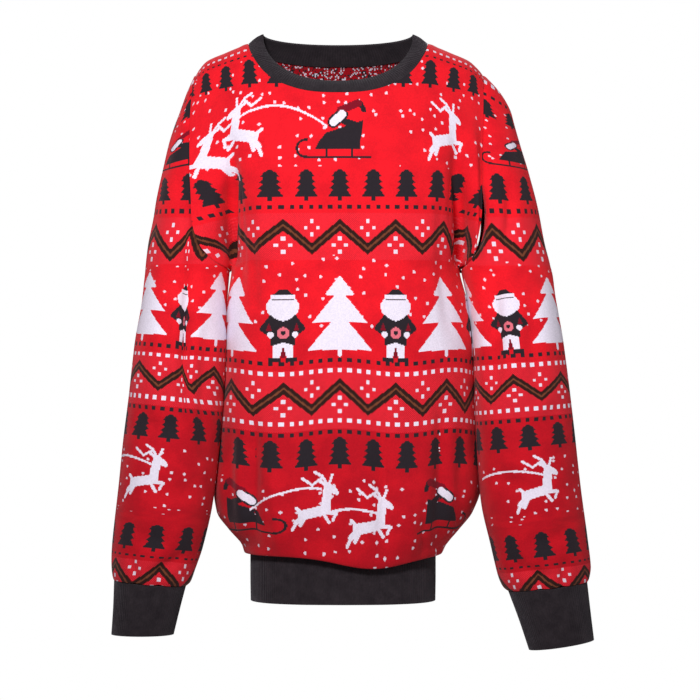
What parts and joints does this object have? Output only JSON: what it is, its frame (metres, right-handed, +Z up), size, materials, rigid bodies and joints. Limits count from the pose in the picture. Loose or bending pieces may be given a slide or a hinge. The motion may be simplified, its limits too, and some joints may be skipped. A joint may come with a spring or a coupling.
{
  "type": "christmas sweater",
  "caption": "Long-sleeved christmas pullover in red jacquard knit, worn and hollow, with a ribbed crew neckband, hem band and cuffs.",
  "frame": {"origin": "middle of the neck opening, level with the tops of the shoulders, where the wearer's shoulders hold the sweater up", "axes": "+Z up, the wearer faces -Y, the wearer's left is +X; metres"},
  "size_m": [0.5752, 0.2383, 0.739],
  "materials": {
    "patterned_jersey": "soft matt fine-gauge jacquard knit",
    "ribbed_charcoal": "matt one-by-one rib knit"
  },
  "bodies": {
    "root": {"front": "patterned_jersey", "back": "patterned_jersey", "sleeve_right": "patterned_jersey", "sleeve_left": "patterned_jersey", "neckband": "ribbed_charcoal", "hem_band": "ribbed_charcoal", "cuff_right": "ribbed_charcoal", "cuff_left": "ribbed_charcoal"}
  },
  "joints": []
}
